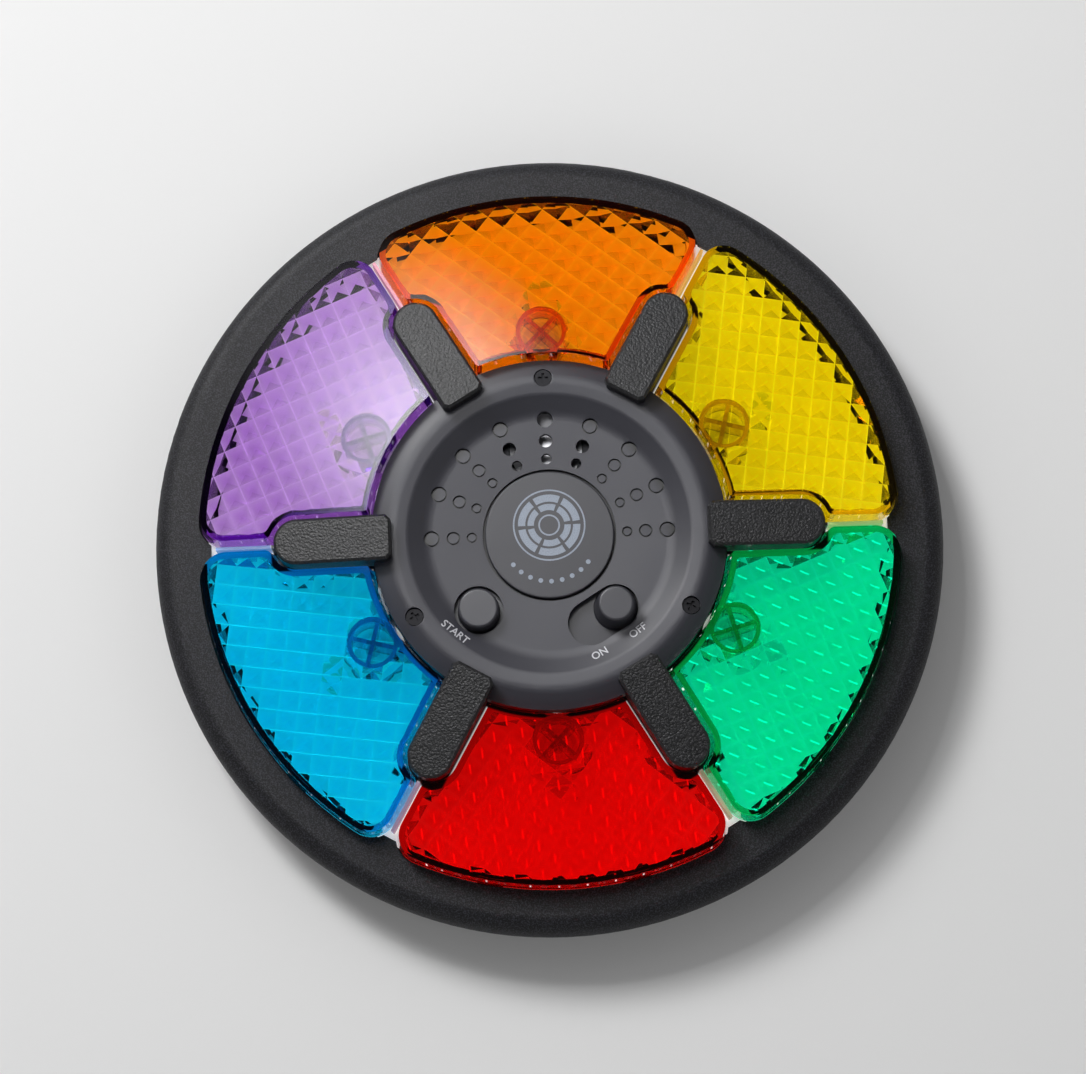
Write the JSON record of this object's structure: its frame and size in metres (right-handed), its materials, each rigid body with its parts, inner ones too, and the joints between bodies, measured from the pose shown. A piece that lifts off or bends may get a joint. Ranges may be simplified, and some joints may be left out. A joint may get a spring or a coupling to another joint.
{
  "type": "electronic memory game",
  "caption": "Round hand-held electronic memory game: translucent prismatic wedge pads in a black ring, black divider bars, dished hub with speaker holes, start button and slide switch.",
  "frame": {"origin": "centre of the resting face under the housing", "axes": "+Z out of the play face, +Y towards the orange pad, +X to the player's right"},
  "size_m": [0.25, 0.25, 0.0372],
  "materials": {
    "black_housing": "pebbled moulded plastic",
    "hub_plastic": "fine matte moulded plastic",
    "bar_plastic": "leather-grained moulded plastic",
    "disc_plastic": "satin moulded plastic",
    "control_plastic": "satin moulded plastic",
    "tray_plastic": "white reflector plastic",
    "orange_clear": "translucent moulded plastic with prisms inside",
    "yellow_clear": "translucent moulded plastic with prisms inside",
    "green_clear": "translucent moulded plastic with prisms inside",
    "red_clear": "translucent moulded plastic with prisms inside",
    "blue_clear": "translucent moulded plastic with prisms inside",
    "purple_clear": "translucent moulded plastic with prisms inside",
    "rubber_dark": "moulded silicone",
    "board": "phenolic laminate with tracks",
    "lamp_clear": "clear epoxy",
    "brass_leaf": "bright sheet",
    "screw_steel": "zinc plated",
    "speaker_metal": "dark painted",
    "speaker_film": "thin film",
    "cell_jacket": "plain wrapped jacket",
    "chip_resin": "moulded resin",
    "can_metal": "sleeved can",
    "contact_steel": "nickel plated",
    "lead_cover": "soft insulation"
  },
  "bodies": {
    "root": {"bar_screws": "screw_steel", "battery_cell_1": "cell_jacket", "battery_cell_2": "cell_jacket", "battery_cell_3": "cell_jacket", "battery_contacts": "contact_steel", "battery_door": "black_housing", "battery_leads": "lead_cover", "board_screws": "screw_steel", "bottom_shell": "black_housing", "capacitor": "can_metal", "centre_disc": "disc_plastic", "circuit_board": "board", "contact_dome_1": "rubber_dark", "contact_dome_2": "rubber_dark", "contact_dome_3": "rubber_dark", "contact_dome_4": "rubber_dark", "contact_dome_5": "rubber_dark", "contact_dome_6": "rubber_dark", "divider_bar_1": "bar_plastic", "divider_bar_2": "bar_plastic", "divider_bar_3": "bar_plastic", "divider_bar_4": "bar_plastic", "divider_bar_5": "bar_plastic", "divider_bar_6": "bar_plastic", "door_screw": "screw_steel", "hub_cover": "hub_plastic", "hub_screws": "screw_steel", "lamp_1": "lamp_clear", "lamp_2": "lamp_clear", "lamp_3": "lamp_clear", "lamp_4": "lamp_clear", "lamp_5": "lamp_clear", "lamp_6": "lamp_clear", "light_tray": "tray_plastic", "shell_screws": "screw_steel", "sound_chip": "chip_resin", "speaker_basket": "speaker_metal", "speaker_cone": "speaker_film", "speaker_leads": "lead_cover", "speaker_magnet": "speaker_metal", "start_dome": "rubber_dark", "top_ring": "black_housing"},
    "orange": {"orange_pad": "orange_clear"},
    "yellow": {"yellow_pad": "yellow_clear"},
    "green": {"green_pad": "green_clear"},
    "red": {"red_pad": "red_clear"},
    "blue": {"blue_pad": "blue_clear"},
    "purple": {"purple_pad": "purple_clear"},
    "start": {"start_button": "control_plastic"},
    "slider": {"switch_knob": "control_plastic", "switch_wiper": "brass_leaf"}
  },
  "joints": [
    {"name": "orange_press", "type": "hinge", "parent": "root", "child": "orange", "pos_m": [0, 0.112, 0.0192], "axis": [1, 0, 0], "range_deg": [0, 2.07], "stiffness_Nm_per_rad": 1.2, "springref_deg": -5.73, "deforming": ["contact_dome_1"]},
    {"name": "yellow_press", "type": "hinge", "parent": "root", "child": "yellow", "pos_m": [0.09699, 0.056, 0.0192], "axis": [0.5, -0.866, 0], "range_deg": [0, 2.07], "stiffness_Nm_per_rad": 1.2, "springref_deg": -5.73, "deforming": ["contact_dome_2"]},
    {"name": "green_press", "type": "hinge", "parent": "root", "child": "green", "pos_m": [0.09699, -0.056, 0.0192], "axis": [-0.5, -0.866, 0], "range_deg": [0, 2.07], "stiffness_Nm_per_rad": 1.2, "springref_deg": -5.73, "deforming": ["contact_dome_3"]},
    {"name": "red_press", "type": "hinge", "parent": "root", "child": "red", "pos_m": [0, -0.112, 0.0192], "axis": [-1, 0, 0], "range_deg": [0, 2.07], "stiffness_Nm_per_rad": 1.2, "springref_deg": -5.73, "deforming": ["contact_dome_4"]},
    {"name": "blue_press", "type": "hinge", "parent": "root", "child": "blue", "pos_m": [-0.09699, -0.056, 0.0192], "axis": [-0.5, 0.866, 0], "range_deg": [0, 2.07], "stiffness_Nm_per_rad": 1.2, "springref_deg": -5.73, "deforming": ["contact_dome_5"]},
    {"name": "purple_press", "type": "hinge", "parent": "root", "child": "purple", "pos_m": [-0.09699, 0.056, 0.0192], "axis": [0.5, 0.866, 0], "range_deg": [0, 2.07], "stiffness_Nm_per_rad": 1.2, "springref_deg": -5.73, "deforming": ["contact_dome_6"]},
    {"name": "start_press", "type": "slide", "parent": "root", "child": "start", "axis": [0, 0, -1], "range_m": [0, 0.0012], "stiffness_N_per_m": 500, "springref_m": -0.003, "deforming": ["start_dome"]},
    {"name": "switch_slide", "type": "slide", "parent": "root", "child": "slider", "axis": [-0.8572, -0.515, 0], "range_m": [0, 0.0094]}
  ]
}
